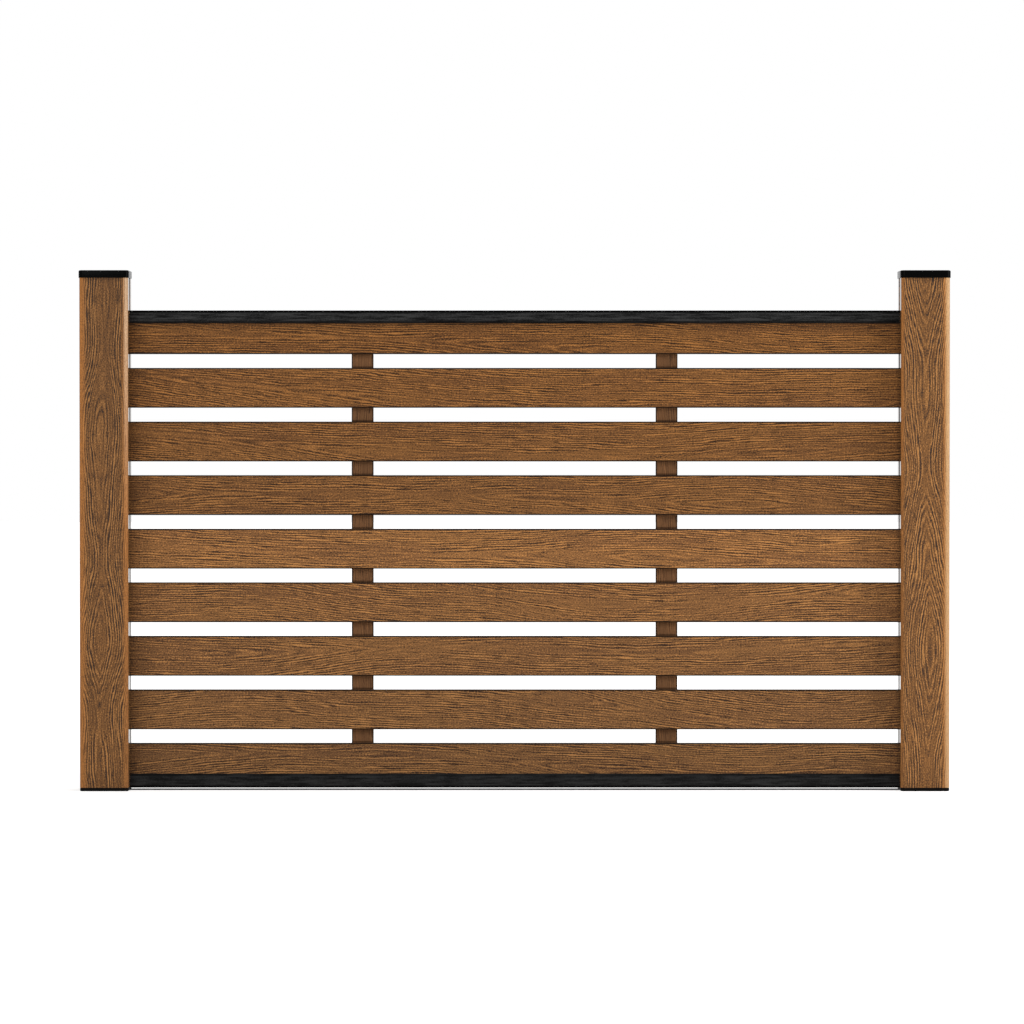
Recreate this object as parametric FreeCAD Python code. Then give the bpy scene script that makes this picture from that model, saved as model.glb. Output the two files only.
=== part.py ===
import FreeCAD, Part
import math
import os

# A slatted garden privacy screen: nine hollow wood-composite slats stand on each other
# through spacers between two grooved posts, held by black aluminium rails and channels,
# tied at the back by two upright battens and on the ground by a flat bar.
#
# Millimetres. The origin is on the ground under the middle of the screen. X runs along the
# screen, Y from its front (-) to its back (+), Z up. Pieces named left stand at -X.

# The whole screen
bay_width = 1770.0              # clear distance between the two posts
screen_height = 1194.0          # ground to the top of the post caps

# Post sleeve, a hollow extrusion round a steel core
post_width = 112.0              # square outside
post_corner_radius = 10.0
post_wall = 6.0                 # outer wall, also round the groove
chamber_wall = 4.0              # wall round the middle chamber
sleeve_rib = 5.0                # ribs from the middle chamber to the outer wall
sleeve_cell_radius = 4.0        # inner corners of the outer wall
groove_depth = 20.0

# Post core, a welded steel tube
core_width = 50.0
core_wall = 3.0
core_corner_radius = 4.0
core_clearance = 1.0            # all round, between the core and the sleeve's chamber
core_top_gap = 20.0             # the core ends this far below the top of the sleeve

# Base plate
base_thickness = 8.0
base_edge_chamfer = 1.6
anchor_hole_diameter = 9.0

# Post cap
cap_height = 17.2
cap_top = 4.0
cap_skirt = 1.5
cap_clearance = 0.25            # between the skirt and the sleeve
cap_edge_chamfer = 2.2
spigot_length = 12.0            # below the underside of the cap's top
spigot_wall = 2.0
spigot_clearance = 0.3          # between the spigot and the sleeve's chamber

# Slats
slat_count = 9
slat_height = 91.5
slat_gap = 31.8                 # daylight between two slats
slat_thickness = 22.0
slat_edge_radius = 2.5
slat_wall = 4.5
slat_rib = 4.0
slat_cell_count = 4
slat_end_gap = 3.0              # room for the slat to grow, at each end

# Rails and side channels, thin-walled extrusions that the slats stand in
profile_wall = 2.0
profile_edge_radius = 0.8
slat_side_clearance = 0.5       # each side of the slat in its rail or channel
groove_clearance = 0.5          # each side of the channel in the post's groove
bottom_rail_seat = 10.3         # underside of the bottom rail to the slat that stands in it
bottom_rail_lip = 21.7          # height of the slat that the bottom rail hides
top_rail_crown = 8.7            # top of the top rail above the slat
top_rail_lip = 19.7             # height of the slat that the top rail hides
rail_end_gap = 1.0              # between the rail's end and the floor of the groove

# Spacers between the slats, inside the side channels
spacer_inset = 1.0              # behind the mouth of the channel
spacer_back_gap = 0.3           # in front of the web of the channel
spacer_wall = 2.5

# Tie bar on the ground and the packers that lift the bottom rail off it
tie_bar_width = 25.0
tie_bar_thickness = 2.5
tie_bar_lap = 44.0              # length under each base plate
tie_bar_clearance = 0.3         # round the bar in its recess
packer_thickness = 3.2
packer_end_gap = 1.0            # behind the inner face of the post

# Battens behind the slats
batten_offset = 350.0           # middle of the screen to the middle of a batten
batten_width = 50.0
batten_thickness = 18.0
batten_edge_radius = 2.5
batten_end_gap = 2.0            # to the lip of each rail

# Screws: pan heads for the panel, countersunk under the tie bar
screw_diameter = 4.2
screw_head_diameter = 8.4
screw_head_height = 2.4
screw_head_top_diameter = 6.0
screw_side_count = 6            # screws are drawn six-sided, in holes with flats to match
screw_tip = 3.0                 # tapered end
screw_tip_diameter = 1.2
screw_grip = 4.0                # length past the last wall that it holds
screw_hole_clearance = 0.1      # all round the shank
batten_screw_shift = 12.0       # left and right of the middle of the batten, by turns
channel_screw_gap_count = 2     # gaps to each channel screw
rail_screw_count = 4
tie_screw_diameter = 5.0
tie_screw_head_diameter = 9.0
tie_screw_depth = 3.6           # length in the base plate

# How far an edge may stray from a level and still count as lying on it
level_tolerance = 0.001

# Sizes that follow from those
post_half = post_width / 2
post_offset = bay_width / 2 + post_half
inner_face = -bay_width / 2                     # inner face of the left post
groove_floor = inner_face - groove_depth
profile_inside = slat_thickness + 2 * slat_side_clearance
profile_outside = profile_inside + 2 * profile_wall
groove_width = profile_outside + 2 * groove_clearance
chamber_width = core_width + 2 * core_clearance
chamber_outside = chamber_width + 2 * chamber_wall
sleeve_bottom = base_thickness
sleeve_top = screen_height - cap_top
cap_width = post_width + 2 * (cap_clearance + cap_skirt)
anchor_offset = (chamber_outside / 2 + post_half - post_wall) / 2

slat_pitch = slat_height + slat_gap
slat_cell_height = (slat_height - 2 * slat_wall + slat_rib) / slat_cell_count - slat_rib
slat_length = bay_width + 2 * (groove_depth - profile_wall - slat_end_gap)
bottom_rail_bottom = tie_bar_thickness + packer_thickness
first_slat_bottom = bottom_rail_bottom + bottom_rail_seat
bottom_rail_top = first_slat_bottom + bottom_rail_lip
last_slat_top = first_slat_bottom + (slat_count - 1) * slat_pitch + slat_height
top_rail_bottom = last_slat_top - top_rail_lip
top_rail_top = last_slat_top + top_rail_crown
rail_length = bay_width + 2 * (groove_depth - rail_end_gap)
slat_front = -slat_thickness / 2
slat_back = slat_thickness / 2
batten_back = slat_back + batten_thickness
core_face = -post_offset + core_width / 2       # of the left core, towards the groove
channel_screw_length = profile_wall + (groove_floor - core_face) + core_wall + screw_grip
tie_bar_length = bay_width + 2 * tie_bar_lap
tie_screw_offset = (tie_bar_length / 2 - groove_floor) / 2


def in_plan(height):
    """Places outline points (x, y) on the level at that height."""
    return lambda u, v: FreeCAD.Vector(u, v, height)


def across(x):
    """Places outline points (y, z) on the plane across the screen at that x."""
    return lambda u, v: FreeCAD.Vector(x, u, v)


def outline(corners, place):
    """Closed wire through corners given as (u, v, radius), each rounded by its radius."""
    count = len(corners)
    starts, ends, middles = [], [], []
    for index in range(count):
        u, v, radius = corners[index]
        here = place(u, v)
        before = (place(*corners[index - 1][:2]) - here).normalize()
        after = (place(*corners[(index + 1) % count][:2]) - here).normalize()
        half_angle = before.getAngle(after) / 2
        inwards = (before + after).normalize()
        run = radius / math.tan(half_angle)
        starts.append(here + before * run)
        ends.append(here + after * run)
        middles.append(here + inwards * (radius / math.sin(half_angle) - radius))
    edges = []
    for index in range(count):
        if corners[index][2] > 0:
            edges.append(Part.Arc(starts[index], middles[index], ends[index]).toShape())
        following = (index + 1) % count
        edges.append(Part.makeLine(ends[index], starts[following]))
    return Part.Wire(edges)


def rectangle(u_low, u_high, v_low, v_high, radius, place):
    """Closed wire of a rectangle with all four corners rounded alike."""
    corners = [(u_low, v_low, radius), (u_high, v_low, radius),
               (u_high, v_high, radius), (u_low, v_high, radius)]
    return outline(corners, place)


def column(wire, height):
    """Upright prism on a wire that lies level."""
    return Part.Face(wire).extrude(FreeCAD.Vector(0, 0, height))


def extrusion(wire, length):
    """Prism along X on a wire that lies across the screen."""
    return Part.Face(wire).extrude(FreeCAD.Vector(length, 0, 0))


def block(x_low, x_high, y_low, y_high, z_low, z_high):
    corner = FreeCAD.Vector(x_low, y_low, z_low)
    return Part.makeBox(x_high - x_low, y_high - y_low, z_high - z_low, corner)


def edges_at_height(shape, height):
    """Edges that lie wholly on one level."""
    found = []
    for edge in shape.Edges:
        box = edge.BoundBox
        if max(abs(box.ZMin - height), abs(box.ZMax - height)) < level_tolerance:
            found.append(edge)
    return found


def mirrored(shape):
    """The same piece at the other end of the screen."""
    return shape.mirror(FreeCAD.Vector(0, 0, 0), FreeCAD.Vector(1, 0, 0))


def export(shape, node):
    shape.exportStep("parts/" + node + ".step")


# Screws and the holes that they need

def level_polygon(diameter, height):
    """Level wire about the Z axis, with a side to each flat of a screw."""
    points = []
    for index in range(screw_side_count + 1):
        angle = 2 * math.pi * index / screw_side_count
        points.append(FreeCAD.Vector(diameter / 2 * math.cos(angle),
                                     diameter / 2 * math.sin(angle), height))
    return Part.makePolygon(points)


def tapered(low_wire, high_wire):
    """Solid between two level wires."""
    return Part.makeLoft([low_wire, high_wire], True, True)


def pan_screw(length):
    """Pan-head screw: its head seats at z = 0 and its shank runs down to a tapered end."""
    head = tapered(level_polygon(screw_head_diameter, 0),
                   level_polygon(screw_head_top_diameter, screw_head_height))
    shank_end = level_polygon(screw_diameter, screw_tip - length)
    shank = column(shank_end, length - screw_tip)
    tip = tapered(level_polygon(screw_tip_diameter, -length), shank_end)
    return head.fuse([shank, tip]).removeSplitter()


def countersunk_shape(clearance, depth):
    """Countersunk head and stem, pointing up from z = 0; with a clearance it is their hole."""
    low = level_polygon(tie_screw_head_diameter + 2 * clearance, 0)
    high = level_polygon(tie_screw_diameter + 2 * clearance, tie_bar_thickness)
    stem = column(high, tie_bar_clearance + depth)
    return tapered(low, high).fuse(stem).removeSplitter()


def pointed(shape, direction, seat):
    """Turns a screw from -Z to a direction and puts its seat in place."""
    turned = shape.copy()
    rotation = FreeCAD.Rotation(FreeCAD.Vector(0, 0, -1), direction)
    turned.Placement = FreeCAD.Placement(seat, rotation)
    return turned


def shank_holes(seats, direction, length):
    """One compound of the holes that a row of screws needs."""
    hole = column(level_polygon(screw_diameter + 2 * screw_hole_clearance, -length), length)
    return Part.makeCompound([pointed(hole, direction, seat) for seat in seats])


def spacer_levels():
    """Bottom of each gap between two slats, from the ground up."""
    lowest = first_slat_bottom + slat_height
    return [lowest + index * slat_pitch for index in range(slat_count - 1)]


def channel_screw_seats():
    """On the web of the left channel, in the middle of a gap, behind its hollow spacer."""
    seats = []
    for level in spacer_levels()[::channel_screw_gap_count]:
        seats.append(FreeCAD.Vector(groove_floor + profile_wall, 0, level + slat_gap / 2))
    return seats


def batten_screw_seats():
    """On the back of the left batten, one to a slat, into the cell above the middle rib."""
    seats = []
    for index in range(slat_count):
        middle = first_slat_bottom + index * slat_pitch + slat_height / 2
        hand = 1 if index % 2 else -1
        seats.append(FreeCAD.Vector(-batten_offset + hand * batten_screw_shift, batten_back,
                                    middle + (slat_cell_height + slat_rib) / 2))
    return seats


def rail_screw_seats(level):
    """On the rear lip of a rail, evenly along the bay."""
    seats = []
    pitch = bay_width / rail_screw_count
    for index in range(rail_screw_count):
        x = (index - (rail_screw_count - 1) / 2) * pitch
        seats.append(FreeCAD.Vector(x, profile_outside / 2, level))
    return seats


channel_direction = FreeCAD.Vector(-1, 0, 0)
forwards = FreeCAD.Vector(0, -1, 0)
batten_screw_length = batten_thickness + slat_wall + screw_grip
rail_screw_length = profile_wall + slat_side_clearance + slat_wall + screw_grip
top_rail_screw_level = top_rail_bottom + top_rail_lip / 2
bottom_rail_screw_level = bottom_rail_top - bottom_rail_lip / 2
channel_holes = shank_holes(channel_screw_seats(), channel_direction, channel_screw_length)
batten_holes = shank_holes(batten_screw_seats(), forwards, batten_screw_length)
top_rail_holes = shank_holes(rail_screw_seats(top_rail_screw_level), forwards, rail_screw_length)
bottom_rail_holes = shank_holes(rail_screw_seats(bottom_rail_screw_level), forwards,
                                rail_screw_length)


# Left post: the right one is its mirror image

def square_round_post(width, radius, height):
    """Rounded square about the axis of the left post, on the level at that height."""
    half = width / 2
    return rectangle(-post_offset - half, -post_offset + half, -half, half, radius, in_plan(height))


def groove_cutter(z_low, z_high):
    """The space of the groove in the inner face of the left post."""
    return block(groove_floor, inner_face, -groove_width / 2, groove_width / 2, z_low, z_high)


def post_sleeve():
    height = sleeve_top - sleeve_bottom
    outer = column(square_round_post(post_width, post_corner_radius, sleeve_bottom), height)
    cells_width = post_width - 2 * post_wall
    cells = column(square_round_post(cells_width, sleeve_cell_radius, sleeve_bottom), height)
    cells = cells.cut(column(square_round_post(chamber_outside, 0, sleeve_bottom), height))
    rib_half = sleeve_rib / 2
    rib_across = block(-post_offset - post_half, -post_offset + post_half, -rib_half, rib_half,
                       sleeve_bottom, sleeve_top)
    rib_along = block(-post_offset - rib_half, -post_offset + rib_half, -post_half, post_half,
                      sleeve_bottom, sleeve_top)
    jacket_half = groove_width / 2 + post_wall
    groove_jacket = block(groove_floor - post_wall, inner_face, -jacket_half, jacket_half,
                          sleeve_bottom, sleeve_top)
    cells = cells.cut([rib_across, rib_along, groove_jacket])
    chamber = column(square_round_post(chamber_width, 0, sleeve_bottom), height)
    groove = groove_cutter(sleeve_bottom, sleeve_top)
    return outer.cut([cells, chamber, groove]).cut(channel_holes)


def post_core():
    height = sleeve_top - core_top_gap - base_thickness
    outer = column(square_round_post(core_width, core_corner_radius, base_thickness), height)
    bore = column(square_round_post(core_width - 2 * core_wall, 0, base_thickness), height)
    return outer.cut(bore).cut(channel_holes)


def base_plate():
    plate = column(square_round_post(post_width, post_corner_radius, 0), base_thickness)
    rims = edges_at_height(plate, 0) + edges_at_height(plate, base_thickness)
    plate = plate.makeChamfer(base_edge_chamfer, rims)
    holes = []
    for x_hand in (-1, 1):
        for y_hand in (-1, 1):
            centre = FreeCAD.Vector(-post_offset + x_hand * anchor_offset, y_hand * anchor_offset, 0)
            holes.append(Part.makeCylinder(anchor_hole_diameter / 2, base_thickness, centre))
    recess_half = tie_bar_width / 2 + tie_bar_clearance
    recess = block(inner_face - tie_bar_lap - tie_bar_clearance, inner_face, -recess_half, recess_half,
                   0, tie_bar_thickness + tie_bar_clearance)
    thread = countersunk_shape(screw_hole_clearance, tie_screw_depth)
    thread.translate(FreeCAD.Vector(-tie_screw_offset, 0, 0))
    return plate.cut(holes + [groove_cutter(0, base_thickness), recess, thread])


def post_cap():
    """Moulded cap: a thin skirt round the sleeve and a ribbed spigot in its chamber."""
    bottom = screen_height - cap_height
    corner_radius = post_corner_radius + cap_clearance + cap_skirt
    shell = column(square_round_post(cap_width, corner_radius, bottom), cap_height)
    shell = shell.makeChamfer(cap_edge_chamfer, edges_at_height(shell, screen_height))
    pocket_width = post_width + 2 * cap_clearance
    pocket_radius = post_corner_radius + cap_clearance
    pocket = column(square_round_post(pocket_width, pocket_radius, bottom), sleeve_top - bottom)
    spigot_bottom = sleeve_top - spigot_length
    spigot_width = chamber_width - 2 * spigot_clearance
    spigot = column(square_round_post(spigot_width, 0, spigot_bottom), spigot_length)
    bore_width = spigot_width - 2 * spigot_wall
    bore = column(square_round_post(bore_width, 0, spigot_bottom), spigot_length)
    half = bore_width / 2
    rib_half = spigot_wall / 2
    rib_bottom = sleeve_top - spigot_length / 2
    rib_across = block(-post_offset - half, -post_offset + half, -rib_half, rib_half,
                       rib_bottom, sleeve_top)
    rib_along = block(-post_offset - rib_half, -post_offset + rib_half, -half, half,
                      rib_bottom, sleeve_top)
    ribbed_spigot = spigot.cut(bore).fuse([rib_across, rib_along])
    return shell.cut(pocket).fuse(ribbed_spigot).removeSplitter()


def side_channel():
    """U channel between the two rails, its web on the floor of the groove."""
    half = profile_outside / 2
    inside = profile_inside / 2
    web = groove_floor + profile_wall
    corners = [(groove_floor, -half, 0), (inner_face, -half, 0), (inner_face, -inside, 0),
               (web, -inside, 0), (web, inside, 0), (inner_face, inside, 0),
               (inner_face, half, 0), (groove_floor, half, 0)]
    channel = column(outline(corners, in_plan(bottom_rail_top)), top_rail_bottom - bottom_rail_top)
    return channel.cut(channel_holes)


def spacers():
    """Hollow blocks that hold the slats apart, open towards the web and the screw heads."""
    back = groove_floor + profile_wall + spacer_back_gap
    mouth = inner_face - spacer_inset
    half = slat_thickness / 2
    pocket_half = half - spacer_wall
    blocks = []
    for level in spacer_levels():
        body = block(back, mouth, -half, half, level, level + slat_gap)
        pocket = block(back, mouth - spacer_wall, -pocket_half, pocket_half,
                       level + spacer_wall, level + slat_gap - spacer_wall)
        blocks.append(body.cut(pocket))
    return Part.makeCompound(blocks)


def channel_screws():
    screw = pan_screw(channel_screw_length)
    return Part.makeCompound([pointed(screw, channel_direction, seat)
                              for seat in channel_screw_seats()])


def rail_packer():
    half = tie_bar_width / 2
    return block(groove_floor + rail_end_gap, inner_face - packer_end_gap, -half, half,
                 tie_bar_thickness, bottom_rail_bottom)


# Panel

def bottom_rail():
    """Extrusion with a slot for the slat above a closed chamber."""
    half = profile_outside / 2
    inside = profile_inside / 2
    end = across(-rail_length / 2)
    body = rectangle(-half, half, bottom_rail_bottom, bottom_rail_top, profile_edge_radius, end)
    slot = block(-rail_length / 2, rail_length / 2, -inside, inside, first_slat_bottom,
                 bottom_rail_top)
    chamber = block(-rail_length / 2, rail_length / 2, -inside, inside,
                    bottom_rail_bottom + profile_wall, first_slat_bottom - profile_wall)
    return extrusion(body, rail_length).cut([slot, chamber, bottom_rail_holes])


def top_rail():
    """Extrusion that caps the panel: a closed chamber above a slot for the top slat."""
    half = profile_outside / 2
    inside = profile_inside / 2
    end = across(-rail_length / 2)
    body = rectangle(-half, half, top_rail_bottom, top_rail_top, profile_edge_radius, end)
    slot = block(-rail_length / 2, rail_length / 2, -inside, inside, top_rail_bottom, last_slat_top)
    chamber = block(-rail_length / 2, rail_length / 2, -inside, inside,
                    last_slat_top + profile_wall, top_rail_top - profile_wall)
    return extrusion(body, rail_length).cut([slot, chamber, top_rail_holes])


def slat(index):
    """Hollow slat: a rounded tube divided into cells by ribs, with holes for its screws."""
    bottom = first_slat_bottom + index * slat_pitch
    end = across(-slat_length / 2)
    body = rectangle(slat_front, slat_back, bottom, bottom + slat_height, slat_edge_radius, end)
    cells = []
    for cell in range(slat_cell_count):
        cell_bottom = bottom + slat_wall + cell * (slat_cell_height + slat_rib)
        cells.append(block(-slat_length / 2, slat_length / 2, slat_front + slat_wall,
                           slat_back - slat_wall, cell_bottom, cell_bottom + slat_cell_height))
    board = extrusion(body, slat_length).cut(cells)
    board = board.cut([batten_holes, mirrored(batten_holes)])
    if index == 0:
        board = board.cut(bottom_rail_holes)
    if index == slat_count - 1:
        board = board.cut(top_rail_holes)
    return board


def batten():
    """Upright batten behind the slats, between the lips of the rails."""
    half = batten_width / 2
    bottom = bottom_rail_top + batten_end_gap
    top = top_rail_bottom - batten_end_gap
    plan = rectangle(-batten_offset - half, -batten_offset + half, slat_back, batten_back,
                     batten_edge_radius, in_plan(bottom))
    return column(plan, top - bottom).cut(batten_holes)


def batten_screws():
    screw = pan_screw(batten_screw_length)
    return Part.makeCompound([pointed(screw, forwards, seat) for seat in batten_screw_seats()])


def rail_screws(level):
    screw = pan_screw(rail_screw_length)
    return Part.makeCompound([pointed(screw, forwards, seat) for seat in rail_screw_seats(level)])


# Tie bar

def tie_bar():
    half_width = tie_bar_width / 2
    half_length = tie_bar_length / 2
    bar = block(-half_length, half_length, -half_width, half_width, 0, tie_bar_thickness)
    sinks = []
    for hand in (-1, 1):
        sink = countersunk_shape(screw_hole_clearance, tie_screw_depth)
        sink.translate(FreeCAD.Vector(hand * tie_screw_offset, 0, 0))
        sinks.append(sink)
    return bar.cut(sinks)


def tie_bar_screws():
    screws = []
    for hand in (-1, 1):
        screw = countersunk_shape(0, tie_screw_depth)
        screw.translate(FreeCAD.Vector(hand * tie_screw_offset, 0, 0))
        screws.append(screw)
    return Part.makeCompound(screws)


os.makedirs("parts", exist_ok=True)

paired_pieces = {
    "post_sleeve": post_sleeve, "post_core": post_core, "base_plate": base_plate,
    "post_cap": post_cap, "side_channel": side_channel, "spacers": spacers,
    "channel_screws": channel_screws, "rail_packer": rail_packer,
    "batten": batten, "batten_screws": batten_screws,
}
for name, build in paired_pieces.items():
    left_piece = build()
    export(left_piece, name + "_left")
    export(mirrored(left_piece), name + "_right")

for number in range(slat_count):
    export(slat(number), "slat_" + str(number + 1))

export(bottom_rail(), "bottom_rail")
export(top_rail(), "top_rail")
export(rail_screws(bottom_rail_screw_level), "bottom_rail_screws")
export(rail_screws(top_rail_screw_level), "top_rail_screws")
export(tie_bar(), "tie_bar")
export(tie_bar_screws(), "tie_bar_screws")
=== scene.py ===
import bpy
import bmesh
import math
from mathutils import Matrix, Vector


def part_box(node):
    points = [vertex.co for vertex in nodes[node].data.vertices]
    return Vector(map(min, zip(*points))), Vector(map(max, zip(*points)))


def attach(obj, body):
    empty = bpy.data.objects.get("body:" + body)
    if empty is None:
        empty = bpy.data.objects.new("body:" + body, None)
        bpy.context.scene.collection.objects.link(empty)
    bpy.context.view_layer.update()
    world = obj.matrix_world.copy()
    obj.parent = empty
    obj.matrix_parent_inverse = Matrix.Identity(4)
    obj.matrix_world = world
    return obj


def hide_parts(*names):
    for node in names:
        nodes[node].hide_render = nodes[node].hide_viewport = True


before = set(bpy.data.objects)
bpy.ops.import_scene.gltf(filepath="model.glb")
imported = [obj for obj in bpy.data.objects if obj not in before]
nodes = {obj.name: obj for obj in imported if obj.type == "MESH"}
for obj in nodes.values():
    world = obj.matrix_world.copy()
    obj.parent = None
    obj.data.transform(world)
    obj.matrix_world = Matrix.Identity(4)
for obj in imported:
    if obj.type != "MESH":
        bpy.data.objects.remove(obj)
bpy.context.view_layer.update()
bpy.ops.object.select_all(action="DESELECT")
print("loaded", len(nodes), "nodes")


def startMaterial(name):
    material = bpy.data.materials.new(name)
    material.use_nodes = True
    return material, material.node_tree.nodes["Principled BSDF"]


def addNode(material, kind, **settings):
    node = material.node_tree.nodes.new(kind)
    for key, value in settings.items():
        setattr(node, key, value)
    return node


def join(material, output, target):
    # a socket is linked, a number or a colour is written on the socket
    if isinstance(output, bpy.types.NodeSocket):
        material.node_tree.links.new(output, target)
    else:
        target.default_value = output


def calculate(material, operation, first, second=0.0, third=0.0):
    node = addNode(material, "ShaderNodeMath", operation=operation)
    for socket, value in zip(node.inputs, (first, second, third)):
        join(material, value, socket)
    return node.outputs[0]


def rescale(material, value, low, high, newLow=0.0, newHigh=1.0):
    # smooth step from one range to another
    node = addNode(material, "ShaderNodeMapRange", interpolation_type="SMOOTHSTEP")
    join(material, value, node.inputs["Value"])
    node.inputs["From Min"].default_value = low
    node.inputs["From Max"].default_value = high
    node.inputs["To Min"].default_value = newLow
    node.inputs["To Max"].default_value = newHigh
    return node.outputs["Result"]


def blendColours(material, amount, first, second, mode="MIX"):
    node = addNode(material, "ShaderNodeMix", data_type="RGBA", blend_type=mode)
    join(material, amount, node.inputs[0])
    join(material, first, node.inputs[6])
    join(material, second, node.inputs[7])
    return node.outputs[2]


def noise(material, vector, detail=2.0):
    node = addNode(material, "ShaderNodeTexNoise")
    node.inputs["Scale"].default_value = 1.0
    node.inputs["Detail"].default_value = detail
    join(material, vector, node.inputs["Vector"])
    return node.outputs["Fac"]


def objectPlace(material):
    # the three Object coordinates
    split = addNode(material, "ShaderNodeSeparateXYZ")
    join(material, addNode(material, "ShaderNodeTexCoord").outputs["Object"], split.inputs[0])
    return split.outputs


def colourBand(material, colour, band, x, z, edgeColour, within=None):
    # painted shade: a soft dark line where a coordinate goes from low to high
    low, high, axis, strength = band
    mask = calculate(material, "MULTIPLY", rescale(material, {"X": x, "Z": z}[axis], low, high), strength)
    if within is not None:
        mask = calculate(material, "MULTIPLY", mask, within)
    return blendColours(material, mask, colour, edgeColour)


def stretched(material, along, across, depth, scales):
    node = addNode(material, "ShaderNodeCombineXYZ")
    for socket, value, scale in zip(node.inputs, (along, across, depth), scales):
        join(material, calculate(material, "MULTIPLY", value, scale), socket)
    return node.outputs[0]


def srgb(red, green, blue):
    # 0-255 screen colour to a linear one
    linear = []
    for level in (red, green, blue):
        part = level / 255
        linear.append(part / 12.92 if part <= 0.04045 else ((part + 0.055) / 1.055) ** 2.4)
    return (*linear, 1.0)


grain = {
    "lineSpacing": 0.0052,        # metres between the embossed lines
    "pieceStep": 7.31,            # metres along the pattern between one piece's cut and the next
    "asideScale": 0.5,            # per metre along: how fast the arches' middle wanders over the board
    "asideReach": 0.15,
    "asideLane": 0.37,            # lanes of the noise that the two wanderings are read from
    "archLane": 5.61,
    "archScale": 1.4,             # and how often the arches turn round
    "archReach": 0.085,           # metres that the lines are drawn inwards there
    "archWidth": 0.007,           # blunt tips of the arches
    "rippleScale": (7.0, 42.0),   # per metre along and across
    "rippleTurns": 0.7,           # lines that a ripple moves a line by
    "shiverScale": (26.0, 240.0),
    "shiverTurns": 0.36,
    "forceScale": (5.0, 70.0),    # where the lines are deep or faint
    "forceRange": (0.36, 0.62, 0.20, 1.0),
    "tipForce": 0.40,             # depth of the lines at the tips of the arches
    "fibreScale": (12.0, 620.0),  # fine threads between them
    "gritScale": (270.0, 460.0),
    "poreScale": (32.0, 600.0),
    "patchScale": (2.2, 15.0),
    "lineShare": 0.60,
    "fibreShare": 0.46,
    "gritShare": 0.70,
    "darkRange": (0.50, 0.20),    # from where the lines are dark or light
    "lightRange": (0.50, 0.84),
    "patchRange": (0.34, 0.66),
    "poreRange": (0.38, 0.27),
    "poreDepth": 0.8,
    "baseColour": srgb(128, 91, 57),
    "dullColour": srgb(115, 81, 53),
    "darkColour": srgb(58, 43, 34),
    "lightColour": srgb(177, 126, 75),
    "poreColour": srgb(38, 29, 25),
    "poreStrength": 0.55,
    # colour of the painted shade in the dark bands, edge lines and ledges
    "edgeColour": srgb(18, 12, 10),
    "tone": (1.0, 1.0, 1.0, 1.0),
    "edgeInsets": (0.0080, 0.0045),  # metres in from the front or the back: begins, full
    "highlightGrainRange": (0.25, 0.60, 0.55, 1.0),  # how far the lines show through the painted corner highlights
    "ledgeFull": 0.35,            # share of a ledge's painted shade that is full dark
    "ledgeDepths": (0.003, 0.001),  # metres from the front where it ends and is full
    "reliefDepth": 0.00030,       # metres of embossing
    "roughness": 0.60,
    "roughnessSpread": (0.10, -0.08),  # in the hollows and on the ridges
    "specular": 0.05,
}


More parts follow.
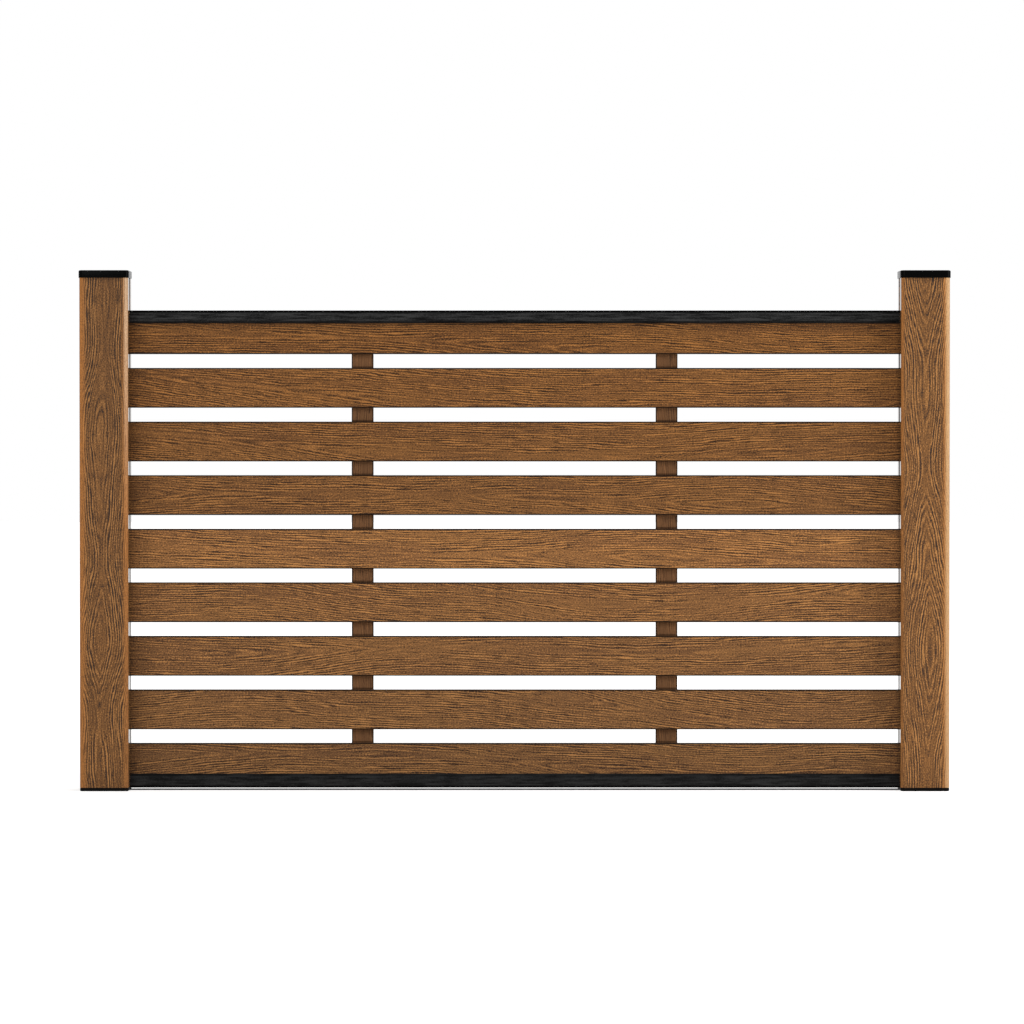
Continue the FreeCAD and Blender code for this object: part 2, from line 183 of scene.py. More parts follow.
def compositeMaterial(name, direction, seed, middle, front, settings):
    # embossed wood-look composite: lines at even steps that draw in to arches round a wandering middle
    look = {**grain, **settings}
    material, shader = startMaterial(name)
    x, y, z = objectPlace(material)
    along, across = (x, z) if direction == "X" else (z, x)
    along = calculate(material, "ADD", along, seed * look["pieceStep"])
    across = calculate(material, "SUBTRACT", across, middle)
    depth = calculate(material, "SUBTRACT", y, front)

    def layer(name, u, v, w, **shape):
        longScale, wideScale = look[name]
        return noise(material, stretched(material, u, v, w, (longScale, wideScale, wideScale)), **shape)

    def wander(scale, lane):
        place = stretched(material, along, seed + lane, 0.0, (look[scale], 1.0, 1.0))
        return noise(material, place, detail=1.0)

    swing = look["asideReach"]
    aside = calculate(material, "MULTIPLY_ADD", wander("asideScale", look["asideLane"]), swing * 2, -swing)
    drawn = calculate(material, "MULTIPLY", wander("archScale", look["archLane"]), look["archReach"])
    sideways = calculate(material, "SUBTRACT", across, aside)
    spread = calculate(material, "MULTIPLY_ADD", sideways, sideways, look["archWidth"] ** 2)
    spread = calculate(material, "ADD", calculate(material, "SQRT", spread),
                       calculate(material, "ADD", drawn, depth))
    ripple = calculate(material, "SUBTRACT", layer("rippleScale", along, across, depth, detail=1.0), 0.5)
    shiver = calculate(material, "SUBTRACT", layer("shiverScale", along, across, depth, detail=0.0), 0.5)
    turns = calculate(material, "DIVIDE", spread, look["lineSpacing"])
    turns = calculate(material, "MULTIPLY_ADD", ripple, look["rippleTurns"] * 2, turns)
    spread = calculate(material, "MULTIPLY", turns, look["lineSpacing"])
    turns = calculate(material, "MULTIPLY_ADD", shiver, look["shiverTurns"] * 2, turns)
    wave = calculate(material, "COSINE", calculate(material, "MULTIPLY", turns, math.tau))
    force = rescale(material, layer("forceScale", along, spread, depth, detail=1.0), *look["forceRange"])
    tips = rescale(material, calculate(material, "ABSOLUTE", sideways), 0.0, look["archWidth"] * 2)
    tipForce = calculate(material, "MULTIPLY_ADD", tips, 1 - look["tipForce"], look["tipForce"])
    force = calculate(material, "MULTIPLY", force, tipForce)
    # the threads follow the lines, but run straight over the blunt tips of the arches
    straight = calculate(material, "MULTIPLY_ADD", ripple,
                         look["rippleTurns"] * 2 * look["lineSpacing"], across)
    threads = layer("fibreScale", along, straight, depth, detail=1.0)
    threadsAside = layer("fibreScale", along, spread, depth, detail=1.0)
    fibre = calculate(material, "SUBTRACT", threadsAside, threads)
    fibre = calculate(material, "MULTIPLY_ADD", fibre, tips, calculate(material, "SUBTRACT", threads, 0.5))
    grit = calculate(material, "SUBTRACT", layer("gritScale", along, straight, depth, detail=0.0), 0.5)
    pore = layer("poreScale", along, spread, depth, detail=0.0)
    patch = layer("patchScale", along, across, depth, detail=2.0)

    lines = calculate(material, "MULTIPLY", wave,
                      calculate(material, "MULTIPLY", force, look["lineShare"] / 2))
    lines = calculate(material, "MULTIPLY_ADD", fibre, look["fibreShare"], lines)
    lines = calculate(material, "MULTIPLY_ADD", grit, look["gritShare"],
                      calculate(material, "ADD", lines, 0.5))
    body = blendColours(material, rescale(material, patch, *look["patchRange"]),
                        look["dullColour"], look["baseColour"])
    colour = blendColours(material, rescale(material, lines, *look["darkRange"]), body, look["darkColour"])
    colour = blendColours(material, rescale(material, lines, *look["lightRange"]),
                          colour, look["lightColour"])
    poreMask = calculate(material, "MULTIPLY", rescale(material, pore, *look["poreRange"]),
                         look["poreStrength"])
    poreMask = calculate(material, "MULTIPLY", poreMask, tips)
    colour = blendColours(material, poreMask, colour, look["poreColour"])
    colour = blendColours(material, 1.0, colour, look["tone"], "MULTIPLY")

    for band in look.get("darkBands", ()):
        colour = colourBand(material, colour, band, x, z, look["edgeColour"])
    if "edgeLines" in look:
        # the same painted shade, but only near the front and the back, so that the narrow faces keep their
        # colour
        fromMiddle = calculate(material, "ABSOLUTE", calculate(material, "SUBTRACT", y, look["middleDepth"]))
        nearEdge = rescale(material, fromMiddle,
                           *(look["halfDepth"] - inset for inset in look["edgeInsets"]))
        for band in look["edgeLines"]:
            colour = colourBand(material, colour, band, x, z, look["edgeColour"], nearEdge)
    for colourThere, amount, nearX, farX, nearY, farY, lowZ, highZ, least in look.get("paleCorners", ()):
        # painted highlights on the rounded corners: paler where both coordinates come near the corner, and more
        # so higher up
        mask = calculate(material, "MULTIPLY", rescale(material, x, farX, nearX),
                         rescale(material, y, farY, nearY))
        mask = calculate(material, "MULTIPLY", mask, rescale(material, z, lowZ, highZ, least, 1.0))
        mask = calculate(material, "MULTIPLY", mask, rescale(material, lines, *look["highlightGrainRange"]))
        colour = blendColours(material, calculate(material, "MULTIPLY", mask, amount), colour, colourThere)
    if "smoothFace" in look:
        # the face towards the bay is smoother, so that it mirrors the light seen along it
        plane, reach = look["smoothFace"]
        offPlane = calculate(material, "ABSOLUTE", calculate(material, "SUBTRACT", x, plane))
        gloss = rescale(material, offPlane, reach, 0.0)
    if "ledges" in look:
        # painted shade on the front just above each slat
        start, pitch, height, strength = look["ledges"]
        step = calculate(material, "SUBTRACT", z, start)
        step = calculate(material, "FLOORED_MODULO", step, pitch)
        mask = calculate(material, "MULTIPLY", rescale(material, step, height, height * look["ledgeFull"]),
                         rescale(material, y, *(front + inward for inward in look["ledgeDepths"])))
        colour = blendColours(material, calculate(material, "MULTIPLY", mask, strength),
                              colour, look["edgeColour"])

    join(material, colour, shader.inputs["Base Color"])
    relief = calculate(material, "MULTIPLY_ADD", poreMask, -look["poreDepth"], lines)
    rough = rescale(material, relief, 0.0, 1.0,
                    *(look["roughness"] + extra for extra in look["roughnessSpread"]))
    if "smoothFace" in look:
        rough = calculate(material, "MULTIPLY_ADD", gloss,
                          look["smoothRoughness"] - look["roughness"], rough)
    join(material, rough, shader.inputs["Roughness"])
    shader.inputs["Specular IOR Level"].default_value = look["specular"]
    bump = addNode(material, "ShaderNodeBump")
    join(material, calculate(material, "SUBTRACT", 1.0, gloss) if "smoothFace" in look else 1.0,
         bump.inputs["Strength"])
    bump.inputs["Distance"].default_value = look["reliefDepth"]
    join(material, relief, bump.inputs["Height"])
    join(material, bump.outputs[0], shader.inputs["Normal"])
    return material


coat = {
    "colourRange": (0.34, 0.66),  # of the speckle and the streaks, from the dark colour to the light one
    "roughRange": (0.3, 0.7),
    "roughnessSpread": (0.06, -0.06),
}


def coatedMaterial(name, settings):
    # powder coat, moulded plastic or bare metal: speckle, faint long streaks and a fine tooth
    look = {**coat, **settings}
    material, shader = startMaterial(name)
    x, y, z = objectPlace(material)
    speckle = noise(material, stretched(material, x, y, z, (look["speckle"],) * 3))
    streaks = noise(material, stretched(material, x, y, z, look["streakScales"]))
    mixed = calculate(material, "ADD", calculate(material, "MULTIPLY", speckle, 1 - look["streakShare"]),
                      calculate(material, "MULTIPLY", streaks, look["streakShare"]))
    colour = blendColours(material, rescale(material, mixed, *look["colourRange"]),
                          look["darkColour"], look["lightColour"])
    for band in look.get("darkBands", ()):
        colour = colourBand(material, colour, band, x, z, look["edgeColour"])
    join(material, colour, shader.inputs["Base Color"])
    rough = (look["roughness"] + extra for extra in look["roughnessSpread"])
    join(material, rescale(material, mixed, *look["roughRange"], *rough), shader.inputs["Roughness"])
    shader.inputs["Metallic"].default_value = look["metallic"]
    shader.inputs["Specular IOR Level"].default_value = look["specular"]
    bump = addNode(material, "ShaderNodeBump")
    bump.inputs["Strength"].default_value = 1.0
    bump.inputs["Distance"].default_value = look["tooth"]
    join(material, mixed, bump.inputs["Height"])
    join(material, bump.outputs[0], shader.inputs["Normal"])
    return material


def dress(node, material):
    mesh = nodes[node].data
    mesh.materials.clear()
    mesh.materials.append(material)


# slats
slatLook = {
    "edgeHeight": 0.0038,         # painted shade: dark line along the top and bottom edge
    "edgeFull": 0.0016,           # and how much of it is full dark
    "edgeStrength": 0.97,
    "leftShade": 0.30,            # painted shade, duller towards the posts
    "leftReach": 0.085,
    "rightShade": 0.30,
    "rightReach": 0.012,
    "lipShadowLine": 0.90,              # painted shadow under the lip of the top rail, a dark line and a broader shade below it
    "lipShadowLineHeight": 0.0036,
    "lipShade": 0.38,
    "lipShadeHeight": 0.026,
    "tones": (0.90, 1.0, 1.06, 1.12, 1.27, 0.96, 0.95, 0.97, 0.90),      # from the bottom slat up
    "warmth": (0.88, 0.70),       # green and blue of the top slat beside those of the bottom one
}
slatNames = ["slat_%d" % (index + 1) for index in range(len(slatLook["tones"]))]
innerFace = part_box("post_sleeve_right")[0].x
for index, name in enumerate(slatNames):
    low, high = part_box(name)
    edges = [
        (low.z + slatLook["edgeHeight"], low.z + slatLook["edgeFull"], "Z", slatLook["edgeStrength"]),
        (high.z - slatLook["edgeHeight"], high.z - slatLook["edgeFull"], "Z", slatLook["edgeStrength"]),
    ]
    bands = [
        (innerFace - slatLook["rightReach"], innerFace, "X", slatLook["rightShade"]),
        (slatLook["leftReach"] - innerFace, -innerFace, "X", slatLook["leftShade"]),
    ]
    if name == slatNames[-1]:
        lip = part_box("top_rail")[0].z
        bands.append((lip - slatLook["lipShadowLineHeight"], lip, "Z", slatLook["lipShadowLine"]))
        bands.append((lip - slatLook["lipShadeHeight"], lip, "Z", slatLook["lipShade"]))
    tone, warm = slatLook["tones"][index], index / (len(slatNames) - 1)
    green, blue = (1 + warm * (end - 1) for end in slatLook["warmth"])
    settings = {"darkBands": bands, "edgeLines": edges, "middleDepth": (low.y + high.y) / 2,
                "halfDepth": (high.y - low.y) / 2, "tone": (tone, tone * green, tone * blue, 1.0)}
    dress(name, compositeMaterial("slatComposite%d" % (index + 1), "X", index + 1,
                                  (low.z + high.z) / 2, low.y, settings))
print("slats dressed")

# posts
postLook = {
    "baseColour": srgb(124, 84, 47),
    "dullColour": srgb(111, 75, 43),
    "lightColour": srgb(174, 122, 70),
    "asideReach": 0.035,          # the arches stay near the middle of the face
    "asideScale": 1.2,
    "archScale": 2.4,
    "archReach": 0.15,
    "archWidth": 0.010,
    "rippleTurns": 1.1,
    "lineShare": 0.68,
    "poreStrength": 0.70,
    "roughness": 0.50,
    "specular": 0.12,
    "smoothRoughness": 0.06,      # of the face towards the bay
    "smoothReach": 0.0006,
    "capShade": 0.40,             # painted shade under the cap and at the foot
    "capShadeHeight": 0.012,
    "footShade": 0.18,
    "footShadeHeight": 0.030,
    "topShade": 0.16,             # a little duller towards the top
    "topShadeFrom": 0.3,          # share of the height where that begins
    # painted highlights on the rounded front corners of the posts, where the light catches them
    "cornerReach": 0.0100,
    "leftHighlight": (srgb(210, 178, 144), 0.86),        # painted highlight on the front corner towards the bay
    "rightHighlight": (srgb(192, 155, 112), 0.92),       # painted highlight on the outer front corner of the right-hand post
    # a fainter, warmer painted highlight on the front corners
    "faintHighlight": (srgb(188, 122, 62), 0.85),
    "cornerDepths": (0.40, 1.0),  # of the corner's reach, from the front
    # each painted highlight: which colour, on which side in x, where it is full and where it ends in corner
    # reaches, heights from and to in metres (None is the top), and its share at the lower one
    "leftCorners": (
        ("faintHighlight", "high", 0.45, 1.7, 0.0, 0.9, 0.45),
        ("leftHighlight", "high", 0.55, 1.3, 0.55, None, 0.0),
        ("faintHighlight", "low", 0.3, 2.0, 0.0, None, 0.8),
    ),
    "rightCorners": (
        ("faintHighlight", "high", 0.9, 1.9, 0.0, None, 0.8),
        ("rightHighlight", "high", 0.6, 1.4, 0.0, None, 0.9),
        ("faintHighlight", "low", 0.2, 1.0, 0.0, None, 0.4),
    ),
    "seeds": (21, 34),
    "tones": (0.98, 1.10),
}
for side, seed, tone in zip(("left", "right"), postLook["seeds"], postLook["tones"]):
    low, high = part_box("post_sleeve_" + side)
    reach = postLook["cornerReach"]
    depths = [low.y + reach * share for share in postLook["cornerDepths"]]
    corners = []
    for kind, end, full, faint, fromHeight, toHeight, least in postLook[side + "Corners"]:
        edge, inward = (high.x, -reach) if end == "high" else (low.x, reach)
        corners.append((*postLook[kind], edge + inward * full, edge + inward * faint, *depths,
                        fromHeight, toHeight or high.z, least))
    bands = [
        (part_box("post_cap_" + side)[0].z - postLook["capShadeHeight"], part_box("post_cap_" + side)[0].z, "Z",
         postLook["capShade"]),
        (low.z + postLook["footShadeHeight"], low.z, "Z", postLook["footShade"]),
        (high.z * postLook["topShadeFrom"], high.z, "Z", postLook["topShade"]),
    ]
    bayFace = high.x if side == "left" else low.x
    settings = {**postLook, "paleCorners": corners, "darkBands": bands,
                "smoothFace": (bayFace, postLook["smoothReach"]),
                "tone": (tone, tone, tone, 1.0)}
    dress("post_sleeve_" + side, compositeMaterial("postComposite" + side.title(), "Z", seed,
                                                   (low.x + high.x) / 2, low.y, settings))

# battens
battenLook = {
    "baseColour": srgb(127, 89, 59),
    "dullColour": srgb(116, 82, 55),
    "darkColour": srgb(70, 51, 38),
    "lightColour": srgb(160, 112, 72),
    "asideReach": 0.20,
    "archReach": 0.03,
    "lineShare": 0.30,
    "fibreShare": 0.40,
    "gritShare": 0.20,
    "sideWidth": 0.0034,          # painted shade: dark line along each side, and where it is full dark
    "sideFull": 0.0014,
    "sideStrength": 0.92,
    "ledgeHeight": 0.0055,        # painted shade above each slat
    "ledgeStrength": 0.60,
    "seeds": (43, 55),
}
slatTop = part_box("slat_1")[1].z
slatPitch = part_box("slat_2")[0].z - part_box("slat_1")[0].z
for side, seed in zip(("left", "right"), battenLook["seeds"]):
    low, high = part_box("batten_" + side)
    edges = [
        (low.x + battenLook["sideWidth"], low.x + battenLook["sideFull"], "X", battenLook["sideStrength"]),
        (high.x - battenLook["sideWidth"], high.x - battenLook["sideFull"], "X", battenLook["sideStrength"]),
    ]
    settings = {**battenLook, "edgeLines": edges, "middleDepth": (low.y + high.y) / 2,
                "halfDepth": (high.y - low.y) / 2,
                "ledges": (slatTop, slatPitch, battenLook["ledgeHeight"], battenLook["ledgeStrength"])}
    dress("batten_" + side, compositeMaterial("battenComposite" + side.title(), "Z", seed,
                                              (low.x + high.x) / 2, low.y, settings))
print("posts and battens dressed")

# rails and side channels
railLook = {
    "darkColour": srgb(18, 18, 18),
    "lightColour": srgb(55, 55, 55),
    "edgeColour": srgb(2, 2, 2),
    "speckle": 420.0,
    "streakScales": (22.0, 260.0, 260.0),
    "streakShare": 0.65,
    "roughness": 0.55,
    "metallic": 0.0,
    "specular": 0.02,
    "tooth": 0.00012,
    "topLine": (0.0068, 0.0036),  # painted shade: black line along the top, and a broader, greyer one along the bottom
    "topLineStrength": 0.99,
    "bottomLine": (0.0055, 0.0032),
    "bottomLineStrength": 0.65,
}
bottomRailLook = {
    "lightColour": srgb(46, 46, 46),
    "topLineStrength": 0.35,
    "bottomLineStrength": 0.97,
}
for name, look in (("top_rail", railLook), ("bottom_rail", {**railLook, **bottomRailLook})):
    low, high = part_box(name)
    bands = [
        (high.z - look["topLine"][0], high.z - look["topLine"][1], "Z", look["topLineStrength"]),
        (low.z + look["bottomLine"][0], low.z + look["bottomLine"][1], "Z", look["bottomLineStrength"]),
    ]
    dress(name, coatedMaterial(name.replace("_r", "R") + "Coat", {**look, "darkBands": bands}))
channelLook = {
    **railLook,
    "streakScales": (260.0, 260.0, 22.0),
    "darkColour": srgb(9, 9, 9),
    "lightColour": srgb(22, 22, 22),
}
channelCoat = coatedMaterial("channelCoat", channelLook)
for name in ("side_channel_left", "side_channel_right"):
    dress(name, channelCoat)

# steel feet, tie bar, plastics and hidden steel
steelLook = {
    "darkColour": srgb(3, 3, 3),
    "lightColour": srgb(12, 12, 12),
    "speckle": 700.0,
    "streakScales": (60.0, 60.0, 400.0),
    "streakShare": 0.3,
    "roughness": 0.50,
    "metallic": 0.0,
    "specular": 0.05,
    "tooth": 0.00010,
}
blackSteel = coatedMaterial("blackSteel", steelLook)
for name in ("base_plate_left", "base_plate_right"):
    dress(name, blackSteel)
tieBarLook = {**steelLook, "roughness": 0.13, "streakScales": (20.0, 300.0, 300.0)}
dress("tie_bar", coatedMaterial("smoothBlackSteel", tieBarLook))
spacerPlastic = coatedMaterial("spacerPlastic", {**steelLook, "speckle": 1200.0, "roughness": 0.6})
for name in ("spacers_left", "spacers_right", "rail_packer_left", "rail_packer_right"):
    dress(name, spacerPlastic)
zincLook = {
    "darkColour": srgb(150, 153, 156),
    "lightColour": srgb(196, 198, 200),
    "speckle": 55.0,
    "streakScales": (90.0, 90.0, 18.0),
    "streakShare": 0.45,
    "roughness": 0.42,
    "metallic": 1.0,
    "specular": 0.5,
    "tooth": 0.00005,
}
galvanised = coatedMaterial("galvanisedSteel", zincLook)
for name in ("post_core_left", "post_core_right"):
    dress(name, galvanised)
stainless = coatedMaterial("stainlessSteel",
                           {**zincLook, "speckle": 900.0, "streakShare": 0.2, "roughness": 0.28})
dress("tie_bar_screws", stainless)
print("metal and plastic dressed")


def editMesh(piece):
    bpy.ops.object.select_all(action="DESELECT")
    piece.select_set(True)
    bpy.context.view_layer.objects.active = piece
    bpy.ops.object.mode_set(mode="EDIT")
    bpy.ops.mesh.select_mode(type="FACE")
    bpy.ops.mesh.select_all(action="DESELECT")


def pick(piece, kind, test):
    # leaves only the faces or edges that pass the test selected
    bpy.ops.mesh.select_mode(type=kind)
    bpy.ops.mesh.select_all(action="DESELECT")
    mesh = bmesh.from_edit_mesh(piece.data)
    for element in mesh.faces if kind == "FACE" else mesh.edges:
        element.select_set(test(element))
    bmesh.update_edit_mesh(piece.data)


making = {
    "samePlace": 0.00005,         # metres within which two places count as one
    "mergeReach": 0.000005,
}


def near(value, target):
    return abs(value - target) < making["samePlace"]


def finishMesh(angle):
    bpy.ops.mesh.select_all(action="SELECT")
    bpy.ops.mesh.remove_doubles(threshold=making["mergeReach"])
    bpy.ops.mesh.normals_make_consistent(inside=False)
    bpy.ops.object.mode_set(mode="OBJECT")
    bpy.ops.object.transform_apply(location=True, rotation=True, scale=True)
    bpy.ops.object.shade_smooth_by_angle(angle=math.radians(angle))


# post caps
capLook = {
    "cornerRadius": 0.01175,
    "cornerSteps": 10,
    "edgeRadius": 0.0030,
    "edgeSteps": 6,
    "sleeveWidth": 0.1125,
    "topThickness": 0.004,
    "spigotWidth": 0.0514,
    "spigotWall": 0.002,
    "spigotLength": 0.012,
    "smoothAngle": 35,            # degrees under which an edge is shaded round
    "darkColour": srgb(2, 2, 2),
    "lightColour": srgb(8, 8, 8),
    "speckle": 900.0,
    "streakScales": (300.0, 300.0, 300.0),
    "streakShare": 0.2,
    "roughness": 0.18,
    "metallic": 0.0,
    "specular": 0.02,
    "tooth": 0.00008,
}


def makeCap(name, node):
    low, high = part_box(node)
    middle = (low + high) / 2
    bpy.ops.mesh.primitive_cube_add(size=1, location=middle, scale=high - low)
    cap = bpy.context.object
    cap.name = name
    bpy.ops.object.transform_apply(location=False, rotation=False, scale=True)
    editMesh(cap)
    half = (high.z - low.z) / 2
    pick(cap, "EDGE", lambda edge: near(edge.verts[0].co.x, edge.verts[1].co.x)
         and near(edge.verts[0].co.y, edge.verts[1].co.y))
    bpy.ops.mesh.bevel(offset=capLook["cornerRadius"], segments=capLook["cornerSteps"],
                       profile=0.5, affect="EDGES")
    pick(cap, "EDGE", lambda edge: all(near(vert.co.z, half) for vert in edge.verts))
    bpy.ops.mesh.bevel(offset=capLook["edgeRadius"], segments=capLook["edgeSteps"],
                       profile=0.5, affect="EDGES")
    # the pocket that takes the sleeve
    pick(cap, "FACE", lambda face: face.normal.z < -0.9)
    wall = (high.x - low.x - capLook["sleeveWidth"]) / 2
    pocketDepth = high.z - low.z - capLook["topThickness"]
    bpy.ops.mesh.inset(thickness=wall, use_even_offset=True)
    bpy.ops.mesh.extrude_region_move(TRANSFORM_OT_translate={"value": (0, 0, pocketDepth)})
    # a square spigot on the pocket's roof, hollow and open downwards
    shrink = capLook["spigotWidth"] / capLook["sleeveWidth"]
    bpy.ops.mesh.extrude_region_move(TRANSFORM_OT_translate={"value": (0, 0, 0)})
    bpy.ops.transform.resize(value=(shrink, shrink, 1))
    bpy.ops.mesh.extrude_region_move(TRANSFORM_OT_translate={"value": (0, 0, -capLook["spigotLength"])})
    bpy.ops.mesh.inset(thickness=capLook["spigotWall"], use_even_offset=True)
    bpy.ops.mesh.extrude_region_move(TRANSFORM_OT_translate={"value": (0, 0, capLook["spigotLength"])})
    finishMesh(capLook["smoothAngle"])
    cap.data.materials.append(capPlastic)
    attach(cap, "root")
    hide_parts(node)


capPlastic = coatedMaterial("capPlastic", capLook)
makeCap("capLeft", "post_cap_left")
makeCap("capRight", "post_cap_right")
print("caps modelled")

# pan-head screws
screwLook = {
    "headRadius": 0.0042,
    "headHeight": 0.0024,
    "headRound": 0.0011,
    "headSteps": 5,
    "shankRadius": 0.0021,
    "threadRadius": 0.00192,      # root of the thread
    "threadPitch": 0.0016,
    "tipLength": 0.003,
    "tipShare": 0.28,             # width of the tip beside the shank
    "recessRadius": 0.0013,
    "recessDepth": 0.0013,
    "recessLobes": 6,
    "lobeReach": 0.16,            # how far each lobe stands out, as a share of the recess's radius
    "sides": 24,
    "smoothAngle": 40,
}


def makeScrew(length):
    # one screw at the origin, head up, its seat at z = 0
    look = screwLook
    bpy.ops.object.select_all(action="DESELECT")
    bpy.ops.mesh.primitive_cylinder_add(vertices=look["sides"], radius=look["headRadius"],
                                        depth=look["headHeight"], location=(0, 0, look["headHeight"] / 2))
    screw = bpy.context.object
    bpy.ops.object.transform_apply(location=True, rotation=True, scale=True)
    editMesh(screw)
    top = look["headHeight"]
    pick(screw, "EDGE", lambda edge: all(near(vert.co.z, top) for vert in edge.verts))
    bpy.ops.mesh.bevel(offset=look["headRound"], segments=look["headSteps"], profile=0.5, affect="EDGES")
    # a recess with six lobes: the inner ring goes in and out by turns
    pick(screw, "FACE", lambda face: face.normal.z > 0.99 and near(face.calc_center_median().z, top))
    bpy.ops.mesh.inset(thickness=look["headRadius"] - look["headRound"] - look["recessRadius"],
                       use_even_offset=True)
    mesh = bmesh.from_edit_mesh(screw.data)
    star = [vert for face in mesh.faces if face.select for vert in face.verts]
    for vert in star:
        turn = math.atan2(vert.co.y, vert.co.x)
        reach = look["recessRadius"] * (1 + look["lobeReach"] * math.cos(look["recessLobes"] * turn))
        vert.co.x = reach * math.cos(turn)
        vert.co.y = reach * math.sin(turn)
    bmesh.update_edit_mesh(screw.data)
    bpy.ops.mesh.extrude_region_move(TRANSFORM_OT_translate={"value": (0, 0, -look["recessDepth"])})
    # the shank grows out of the underside, its thread as a row of rings
    pick(screw, "FACE", lambda face: face.normal.z < -0.99)
    bpy.ops.mesh.inset(thickness=look["headRadius"] - look["shankRadius"], use_even_offset=True)
    ringCount = int((length - look["tipLength"]) / look["threadPitch"])
    squeeze = look["threadRadius"] / look["shankRadius"]
    halfPitch = (length - look["tipLength"]) / ringCount / 2
    for _ in range(ringCount):
        for factor in (squeeze, 1 / squeeze):
            bpy.ops.mesh.extrude_region_move(TRANSFORM_OT_translate={"value": (0, 0, -halfPitch)})
            bpy.ops.transform.resize(value=(factor, factor, 1))
    bpy.ops.mesh.extrude_region_move(TRANSFORM_OT_translate={"value": (0, 0, -look["tipLength"])})
    bpy.ops.transform.resize(value=(look["tipShare"], look["tipShare"], 1))
    finishMesh(screwLook["smoothAngle"])
    return screw


def placeScrews(name, node, length, seats, turn):
    # copies one screw to every seat and joins them to one piece
    screw = makeScrew(length)
    copies = []
    for seat in seats:
        copy = screw.copy()
        copy.data = screw.data.copy()
        copy.data.transform(Matrix.Translation(seat) @ turn)
        bpy.context.collection.objects.link(copy)
        copies.append(copy)
    bpy.data.objects.remove(screw)
    bpy.ops.object.select_all(action="DESELECT")
    for copy in copies:
        copy.select_set(True)
    bpy.context.view_layer.objects.active = copies[0]
    bpy.ops.object.join()
    piece = bpy.context.object
    piece.name = name
    piece.data.materials.append(stainless)
    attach(piece, "root")
    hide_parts(node)


headBack = Matrix.Rotation(math.radians(-90), 4, "X")      # head towards +Y
screwSeats = {
    "battenShift": 0.012,         # to each side of the batten's middle, by turns
    "railCount": 4,
    "channelCount": 4,
    "battenRise": 0.01081,        # above the middle of a slat
}
for side, sign in (("left", -1), ("right", 1)):
    battenLow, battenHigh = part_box("batten_" + side)
    battenMiddle = (battenLow.x + battenHigh.x) / 2
    node = "batten_screws_" + side
    screwLow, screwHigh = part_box(node)
    seats = []
    for index, slatName in enumerate(slatNames):
        slatLow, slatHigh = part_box(slatName)
        hand = 1 if index % 2 else -1
        seats.append(Vector((battenMiddle - sign * hand * screwSeats["battenShift"], battenHigh.y,
                             (slatLow.z + slatHigh.z) / 2 + screwSeats["battenRise"])))
    placeScrews("battenScrews" + side.title(), node, battenHigh.y - screwLow.y, seats, headBack)
for rail in ("bottom", "top"):
    node = rail + "_rail_screws"
    screwLow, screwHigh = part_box(node)
    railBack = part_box(rail + "_rail")[1].y
    reach = (screwHigh.x - screwLow.x) / 2 - screwLook["headRadius"]
    count = screwSeats["railCount"]
    seats = [Vector((-reach + step * reach * 2 / (count - 1), railBack, (screwLow.z + screwHigh.z) / 2))
             for step in range(count)]
    placeScrews(rail + "RailScrews", node, railBack - screwLow.y, seats, headBack)
for side, sign in (("left", -1), ("right", 1)):
    node = "channel_screws_" + side
    screwLow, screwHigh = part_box(node)
    turn = Matrix.Rotation(math.radians(-90 * sign), 4, "Y")      # head towards the bay
    web = abs(screwHigh.x if side == "left" else screwLow.x) + screwLook["headHeight"]
    tip = abs(screwLow.x if side == "left" else screwHigh.x)
    first = screwLow.z + screwLook["headRadius"]
    last = screwHigh.z - screwLook["headRadius"]
    count = screwSeats["channelCount"]
    seats = [Vector((sign * web, 0, first + step * (last - first) / (count - 1))) for step in range(count)]
    placeScrews("channelScrews" + side.title(), node, tip - web, seats, turn)
print("screws modelled")

# floor, world, lamps and camera
studio = {
    "floorSize": 60.0,
    "floorColour": srgb(243, 243, 242),
    "floorRoughness": 0.9,
    "floorSpecular": 0.0,
    "floorLift": (0.50, 0.80),    # extra light that camera and mirror rays see, near and far
    "floorReach": (1.3, 4.5),     # metres from the middle where near ends and far begins
    "worldLight": 0.50,
    "keyPlace": (4.6, -1.6, 2.2),
    "keySize": (2.2, 3.6),
    "keyPower": 160.0,
    "fillPlace": (-3.0, -6.5, 3.4),
    "fillSize": (4.0, 3.0),
    "fillPower": 175.0,
    "backPlace": (1.8, 6.0, 3.6),
    "backSize": (4.0, 3.0),
    "backPower": 90.0,
    "aim": (0.0, 0.0, 0.6),
}


def seenRays(owner):
    # 1 for the rays that a camera, a mirror or glass sees
    rays = addNode(owner, "ShaderNodeLightPath").outputs
    seen = calculate(owner, "MAXIMUM", rays["Is Camera Ray"], rays["Is Glossy Ray"])
    return calculate(owner, "MAXIMUM", seen, rays["Is Transmission Ray"])


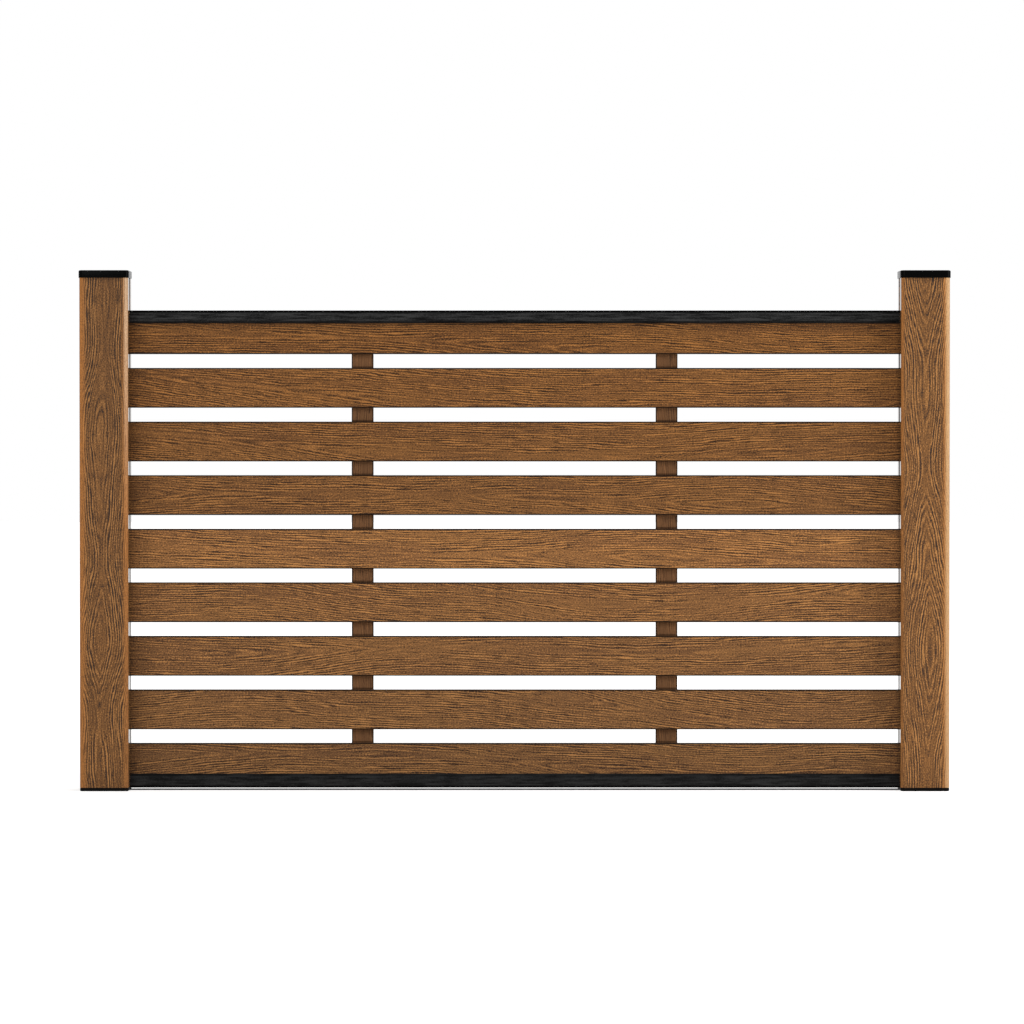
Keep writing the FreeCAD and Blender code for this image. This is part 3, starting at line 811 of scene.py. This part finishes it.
bpy.ops.object.select_all(action="DESELECT")
bpy.ops.mesh.primitive_plane_add(size=studio["floorSize"], location=(0, 0, 0))
floor = bpy.context.object
floor.name = "floor"
floorMaterial, floorShader = startMaterial("paleFloor")
floorShader.inputs["Base Color"].default_value = studio["floorColour"]
floorShader.inputs["Roughness"].default_value = studio["floorRoughness"]
floorShader.inputs["Specular IOR Level"].default_value = studio["floorSpecular"]
floorShader.inputs["Emission Color"].default_value = (1, 1, 1, 1)
floorPlace = addNode(floorMaterial, "ShaderNodeTexCoord").outputs["Object"]
fromMiddle = addNode(floorMaterial, "ShaderNodeVectorMath", operation="LENGTH")
join(floorMaterial, floorPlace, fromMiddle.inputs[0])
lift = rescale(floorMaterial, fromMiddle.outputs["Value"], *studio["floorReach"], *studio["floorLift"])
join(floorMaterial, calculate(floorMaterial, "MULTIPLY", seenRays(floorMaterial), lift),
     floorShader.inputs["Emission Strength"])
floor.data.materials.append(floorMaterial)

world = bpy.data.worlds.new("studioWorld")
bpy.context.scene.world = world
world.use_nodes = True
background = world.node_tree.nodes["Background"]
background.inputs["Color"].default_value = (1, 1, 1, 1)
strength = addNode(world, "ShaderNodeMapRange")
strength.inputs["To Min"].default_value = studio["worldLight"]
join(world, seenRays(world), strength.inputs["Value"])
join(world, strength.outputs["Result"], background.inputs["Strength"])


def addLamp(name, place, size, power):
    bpy.ops.object.light_add(type="AREA", location=place)
    lamp = bpy.context.object
    lamp.name = name
    lamp.data.shape = "RECTANGLE"
    lamp.data.size, lamp.data.size_y = size
    lamp.data.energy = power
    aim = Vector(studio["aim"]) - Vector(place)
    lamp.rotation_euler = aim.to_track_quat("-Z", "Y").to_euler()


for kind in ("key", "fill", "back"):
    addLamp(kind + "Lamp", studio[kind + "Place"], studio[kind + "Size"], studio[kind + "Power"])

view = {
    "lens": 188.85,
    "place": (-0.006, -12.356, 0.8693),
    "tilt": 1.066,                # degrees down from level
    "sensor": 36,
    "farEnd": 200,
}
bpy.ops.object.camera_add(location=view["place"], rotation=(math.radians(90 - view["tilt"]), 0, 0))
camera = bpy.context.object
camera.data.lens = view["lens"]
camera.data.sensor_width = view["sensor"]
camera.data.sensor_fit = "HORIZONTAL"
camera.data.clip_end = view["farEnd"]
bpy.context.scene.camera = camera
bpy.context.scene.view_settings.view_transform = "Standard"
print("studio ready")
